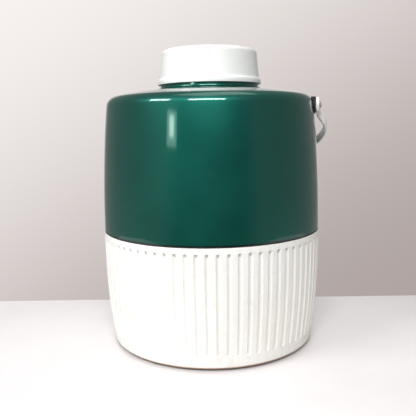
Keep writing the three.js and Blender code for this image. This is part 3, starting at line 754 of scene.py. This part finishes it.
cap_top_r = CAP_RADIUS - CAP_TAPER
corner_z = CAP_TOP - CAP_DOME - CAP_CORNER
cap_profile = [(0.0, CAP_TOP)]
cap_profile += [
    (r, CAP_TOP - CAP_DOME * (r / (cap_top_r - CAP_CORNER)) ** 2)
    for r in np.linspace(6, cap_top_r - CAP_CORNER - 1, 8)
]
cap_profile += arc(cap_top_r - CAP_CORNER, corner_z, CAP_CORNER, 88, 0, 14)
cap_profile += [(CAP_RADIUS - 0.25, LIP_TOP + 4), (CAP_RADIUS, LIP_TOP + 1.6)]
cap_profile += [(CAP_RADIUS + 0.15, LIP_TOP + 1.0), (CAP_RADIUS + 0.6, LIP_TOP + 0.45)]
cap_profile += [(LIP_RADIUS - 0.6, LIP_TOP + 0.1), (LIP_RADIUS - 0.2, LIP_TOP - 0.25)]
cap_profile += [(LIP_RADIUS, LIP_TOP - 0.8), (LIP_RADIUS, CAP_FOOT + 0.4)]
cap_profile += [(LIP_RADIUS - 0.12, CAP_FOOT + 0.12), (LIP_RADIUS - 0.4, CAP_FOOT)]
cap_profile += [(LIP_RADIUS - LIP_WALL + 0.3, CAP_FOOT), (LIP_RADIUS - LIP_WALL, CAP_FOOT + 0.3)]
cap_profile += [(LIP_RADIUS - LIP_WALL, LIP_TOP + 0.1), (CAP_RADIUS - CAP_WALL, LIP_TOP + 0.1)]
cap_profile += [(cap_top_r - CAP_WALL, corner_z)]
cap_profile += arc(cap_top_r - CAP_CORNER, corner_z, CAP_CORNER - CAP_WALL, 15, 90, 6)
cap_profile += [(0.0, CAP_TOP - CAP_DOME - CAP_WALL)]
cap_shell = add_piece("cap_outer_cup", *turned_mesh(cap_profile, even_angles(), closed=False))
glossy = Recipe("glossy_white_plastic", roughness=0.28, specular=0.5)
glossy_tone = glossy.spread(glossy.noise(18.0, 4.0), 0.35, 0.7)
fine_marks = glossy.spread(glossy.noise(260.0, 8.0, glossy.stretched((1.0, 1.0, 0.3))), 0.62, 0.75)
clean = glossy.blend(glossy_tone, (0.86, 0.865, 0.85), (0.83, 0.83, 0.805))
glossy.join(glossy.blend(glossy.times(fine_marks, 0.25), clean, (0.68, 0.67, 0.63)), "Base Color")
glossy.vary_roughness(45.0, 6.0, 0.22, 0.36)
glossy.bump([(glossy.noise(90.0, 3.0), 0.00005), (glossy.noise(1200.0, 2.0), 0.00001)])
glossy.paint(cap_shell)
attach(cap_shell, "cap")
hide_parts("cap_shell")

# ---- Handle ----
# A bail moulded in one piece of white plastic: two round ears on the rivets, narrow legs that step
# outwards past the jacket, and a wider, thicker grip across the back.

EAR_RADIUS = 7.5
STRAP_THICKNESS = 3.1
STRAP_DROP = 10.5
LEG_WIDTH = 9.0
GRIP_WIDTH = 19.0
GRIP_THICKNESS = 6.0
EAR_LENGTH = 10.0
EAR_HOLE = RIVET_HOLE + 0.3
STRAP_START = 3.4  # the strap begins past the hole, inside the ear
FLARE_LENGTH = 20.0
FLARE_OUT = 6.2
BAIL_REACH = 122.0
FLARE_EASE = 0.45  # share of the flare over which its ends straighten
LEG_SHARES = (0.015, 0.09)  # of the strap's length, where an end widens into a leg
GRIP_SHARES = (0.26, 0.4)  # where a leg widens into the grip
END_LOWER = 0.7  # edges of the strap's ends inside the ears, in ear radii
END_UPPER = 0.4
REST_ANGLE = math.radians(25.25)  # below level, where the strap rests on the jacket
HANDLE_VOXEL = 0.55

ear_middle = EAR_FACE + EAR_THICKNESS / 2


def smooth_step(value, low, high):
    t = min(1.0, max(0.0, (value - low) / (high - low)))
    return t * t * (3 - 2 * t)


def between(low, high, share):
    return low + (high - low) * share


def bail_line():
    """The strap's middle line in the plane of the bail, evenly spaced: across the jug and outwards."""
    leg_x = ear_middle + FLARE_OUT
    leg_y = EAR_LENGTH + FLARE_LENGTH
    bend = FLARE_LENGTH * FLARE_EASE
    line = [(ear_middle, y) for y in np.linspace(STRAP_START, EAR_LENGTH, 20)]
    for t in np.linspace(0, 1, 60)[1:]:
        side = ear_middle + (leg_x - ear_middle) * (3 * t * t - 2 * t**3)
        handles = (EAR_LENGTH, EAR_LENGTH + bend, leg_y - bend, leg_y)
        weights = ((1 - t) ** 3, 3 * t * (1 - t) ** 2, 3 * t * t * (1 - t), t**3)
        line.append((side, sum(w * h for w, h in zip(weights, handles))))
    for a in np.linspace(0, math.pi / 2, 160)[1:]:
        line.append((leg_x * math.cos(a), leg_y + (BAIL_REACH - leg_y) * math.sin(a)))
    line += [(-x, y) for x, y in reversed(line[:-1])]
    line = np.array(line)
    lengths = np.concatenate([[0], np.cumsum(np.linalg.norm(np.diff(line, axis=0), axis=1))])
    even = np.linspace(0, lengths[-1], 301)
    return np.stack([np.interp(even, lengths, line[:, k]) for k in (0, 1)], axis=1)


def strap_mesh():
    """The strap as a rounded bar, narrowed at its ends to stay inside the ears."""
    line = bail_line()
    heading = np.gradient(line, axis=0)
    heading /= np.linalg.norm(heading, axis=1)[:, None]
    around = [2 * math.pi * k / 28 for k in range(28)]
    points, faces = [], []
    for i, ((x, y), (hx, hy)) in enumerate(zip(line, heading)):
        t = i / (len(line) - 1)
        from_end = min(t, 1 - t)
        leg = smooth_step(from_end, *LEG_SHARES)
        grip = smooth_step(from_end, *GRIP_SHARES)
        lower = -between(END_LOWER * EAR_RADIUS, STRAP_DROP, leg)
        leg_upper = between(END_UPPER * EAR_RADIUS, LEG_WIDTH - STRAP_DROP, leg)
        upper = between(leg_upper, GRIP_WIDTH - STRAP_DROP, grip)
        thickness = between(STRAP_THICKNESS, GRIP_THICKNESS, grip)
        roundness = 0.42 + 0.13 * grip
        for a in around:
            c, s = math.cos(a), math.sin(a)
            out = math.copysign(abs(c) ** roundness, c) * thickness / 2
            out += (thickness - STRAP_THICKNESS) / 2
            up = math.copysign(abs(s) ** roundness, s) * (upper - lower) / 2 + (upper + lower) / 2
            points.append((x + hy * out, y - hx * out, up))
    n = len(around)
    for i in range(len(line) - 1):
        near, far = i * n, (i + 1) * n
        for k in range(n):
            m = (k + 1) % n
            faces.append([near + k, near + m, far + m, far + k])
    faces += [list(reversed(range(n))), list(range(len(points) - n, len(points)))]
    return points, faces


def ear_mesh(side):
    """A disc with a rounded rim, a shallow ring round the rivet, and its hole."""
    inner, outer = EAR_FACE, EAR_FACE + EAR_THICKNESS
    profile = [(EAR_HOLE, inner), (EAR_RADIUS - 0.8, inner), (EAR_RADIUS - 0.25, inner + 0.25)]
    profile += [(EAR_RADIUS, inner + 0.8), (EAR_RADIUS, outer - 0.8)]
    profile += [(EAR_RADIUS - 0.25, outer - 0.25), (EAR_RADIUS - 0.8, outer)]
    profile += [(EAR_HOLE, outer)]
    points, faces = turned_mesh(profile, even_angles(96))
    return [(side * z, side * y, x) for x, y, z in points], faces


def tilted(points):
    """Points of the bail turned down from level to where it rests, about the pivot axis."""
    c, s = math.cos(REST_ANGLE), math.sin(REST_ANGLE)
    return [(x, y * c + z * s, PIVOT_HEIGHT - y * s + z * c) for x, y, z in points]


bail_points, bail_faces = joined(strap_mesh(), ear_mesh(-1), ear_mesh(1))
handle = add_piece("bail_handle", tilted(bail_points), bail_faces)
remesh = handle.modifiers.new("one_moulding", "REMESH")
remesh.mode = "VOXEL"
remesh.voxel_size = HANDLE_VOXEL * MM
remesh.use_smooth_shade = True
soften = handle.modifiers.new("soft_edges", "SMOOTH")
soften.factor = 0.5
soften.iterations = 5
bpy.context.view_layer.update()
moulded = bpy.data.meshes.new_from_object(
    handle.evaluated_get(bpy.context.evaluated_depsgraph_get())
)
handle.modifiers.clear()
handle.data = moulded
handle.data.shade_smooth()
satin = Recipe("satin_white_plastic", roughness=0.36, specular=0.5)
satin_tone = satin.spread(satin.noise(30.0, 4.0), 0.35, 0.7)
handling = satin.spread(satin.noise(180.0, 7.0), 0.58, 0.74)
worn = satin.blend(satin_tone, (0.84, 0.84, 0.82), (0.78, 0.78, 0.745))
satin.join(satin.blend(satin.times(handling, 0.3), worn, (0.6, 0.58, 0.53)), "Base Color")
satin.vary_roughness(70.0, 6.0, 0.3, 0.46)
satin.bump([(satin.noise(150.0, 3.0), 0.00008), (satin.noise(1500.0, 2.0), 0.000015)])
satin.paint(handle)
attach(handle, "bail")
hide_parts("handle")

# ---- Studio ----
# A pale table top that ends just behind the jug, a soft grey room that is dim in front and pale
# behind, window-like lights to the left, in front and above, and the camera above the table.

TABLE_BACK = 0.105
TABLE_FRONT = -0.25
TABLE_SIDE = 0.6
TABLE_TOP = -0.2  # in millimetres, so that the foot ring doesn't flicker against it
TABLE_UNDERSIDE = -25.0
CAMERA_TURN = math.radians(13.0)
CAMERA_AWAY = 0.543
CAMERA_HEIGHT = 0.2092
CAMERA_DOWN = 0.150
CAMERA_YAW = 0.006
CAMERA_ROLL = -0.016
CAMERA_LENS = 47.6


def facing_camera(x, y, z):
    """A point given from the camera's side: x to its right, y away from it."""
    c, s = math.cos(CAMERA_TURN), math.sin(CAMERA_TURN)
    return (x * c - y * s, x * s + y * c, z)


table_corners = [(-TABLE_SIDE, TABLE_FRONT), (TABLE_SIDE, TABLE_FRONT)]
table_corners += [(TABLE_SIDE, TABLE_BACK), (-TABLE_SIDE, TABLE_BACK)]
table_corners = [facing_camera(x, y, 0)[:2] for x, y in table_corners]
table_points = [
    (x / MM, y / MM, z) for z in (TABLE_TOP, TABLE_UNDERSIDE) for x, y in table_corners
]
table_faces = [[0, 1, 2, 3], [7, 6, 5, 4]]
table_faces += [[i, i + 4, (i + 1) % 4 + 4, (i + 1) % 4] for i in range(4)]
table_top = add_piece("table_top", table_points, table_faces)
pale_stone = Recipe("pale_stone", roughness=0.3, specular=0.5)
clouds = pale_stone.spread(pale_stone.noise(5.0, 6.0), 0.35, 0.75)
pale_stone.join(pale_stone.blend(clouds, (0.84, 0.81, 0.81), (0.76, 0.72, 0.73)), "Base Color")
pale_stone.paint(table_top)

world = bpy.data.worlds.new("soft_room")
bpy.context.scene.world = world
world.use_nodes = True
room_nodes, room_links = world.node_tree.nodes, world.node_tree.links
direction = room_nodes.new("ShaderNodeTexCoord").outputs["Generated"]


def room_gradient(towards, stops):
    """Colours of the room by how far a direction points along towards, from -1 to 1."""
    along = room_nodes.new("ShaderNodeVectorMath")
    along.operation = "DOT_PRODUCT"
    along.inputs[1].default_value = towards
    room_links.new(direction, along.inputs[0])
    scaled = room_nodes.new("ShaderNodeMapRange")
    scaled.inputs["From Min"].default_value = -1.0
    room_links.new(along.outputs["Value"], scaled.inputs["Value"])
    ramp = room_nodes.new("ShaderNodeValToRGB")
    ramp.color_ramp.interpolation = "EASE"
    for share, colour in stops[1:-1]:
        ramp.color_ramp.elements.new((share + 1) / 2)
    for element, (share, colour) in zip(ramp.color_ramp.elements, stops):
        element.position = (share + 1) / 2
        element.color = (*colour, 1.0)
    room_links.new(scaled.outputs["Result"], ramp.inputs["Fac"])
    return ramp.outputs["Color"]


DIM_FRONT = (0.06, 0.06, 0.065)
DIM_SIDES = (0.26, 0.255, 0.255)
PALE_BACK = (0.86, 0.83, 0.82)
room_light = room_gradient(
    facing_camera(0, 1, 0.1),
    [(-0.86, DIM_FRONT), (-0.6, DIM_SIDES), (0.84, DIM_SIDES), (0.98, PALE_BACK)],
)
# What the camera sees behind the jug: a backdrop with painted light, bright up to the left and darker
# down to the right.
wall = room_gradient(
    facing_camera(-0.395, 0, 0.62),
    [(-0.32, (0.43, 0.375, 0.36)), (0.32, (0.95, 0.9, 0.88))],
)
seen = room_nodes.new("ShaderNodeLightPath").outputs["Is Camera Ray"]
room = room_nodes.new("ShaderNodeMix")
room.data_type = "RGBA"
room_links.new(seen, room.inputs["Factor"])
room_links.new(room_light, room.inputs[6])
room_links.new(wall, room.inputs[7])
room_links.new(room.outputs[2], room_nodes["Background"].inputs["Color"])


def window_light(name, around, above, wide, high, power, away=1.6, tint=(1.0, 1.0, 1.0)):
    """A soft rectangular light aimed at the shoulder, away metres from it.

    Its direction is given in degrees round the jug from the camera's side and above level."""
    a, e = math.radians(around), math.radians(above)
    target = Vector((0, 0, 0.2))
    spot = Vector(
        facing_camera(
            away * math.sin(a) * math.cos(e), -away * math.cos(a) * math.cos(e), away * math.sin(e)
        )
    )
    data = bpy.data.lights.new(name, "AREA")
    data.shape = "RECTANGLE"
    data.size, data.size_y = wide, high
    data.energy = power
    data.color = tint
    lamp = bpy.data.objects.new(name, data)
    lamp.location = target + spot
    lamp.rotation_euler = (-spot).to_track_quat("-Z", "Y").to_euler()
    bpy.context.scene.collection.objects.link(lamp)


STRIP_TINT = (0.78, 1.0, 0.9)
GLOW_TINT = (0.6, 1.0, 0.85)
window_light("left_window", around=-57, above=31, wide=0.6, high=0.3, power=12)
window_light("front_window", around=-3, above=31, wide=1.0, high=0.3, power=23)
window_light("left_strip", around=-38.5, above=9, wide=0.13, high=0.12, power=0.5, tint=STRIP_TINT)
window_light("left_glow", around=-38.5, above=8.5, wide=0.28, high=0.2, power=0.7, tint=GLOW_TINT)
window_light("ceiling", around=40, above=84, wide=1.6, high=1.2, power=11, away=1.9)

camera_data = bpy.data.cameras.new("camera")
camera_data.lens = CAMERA_LENS
camera_data.sensor_width = 36.0
camera_data.clip_start = 0.01
camera = bpy.data.objects.new("camera", camera_data)
bpy.context.scene.collection.objects.link(camera)
camera.matrix_world = (
    Matrix.Translation(facing_camera(0, -CAMERA_AWAY, CAMERA_HEIGHT))
    @ Matrix.Rotation(CAMERA_TURN + CAMERA_YAW, 4, "Z")
    @ Matrix.Rotation(math.pi / 2 - CAMERA_DOWN, 4, "X")
    @ Matrix.Rotation(CAMERA_ROLL, 4, "Z")
)
bpy.context.scene.camera = camera
bpy.context.scene.view_settings.view_transform = "Standard"
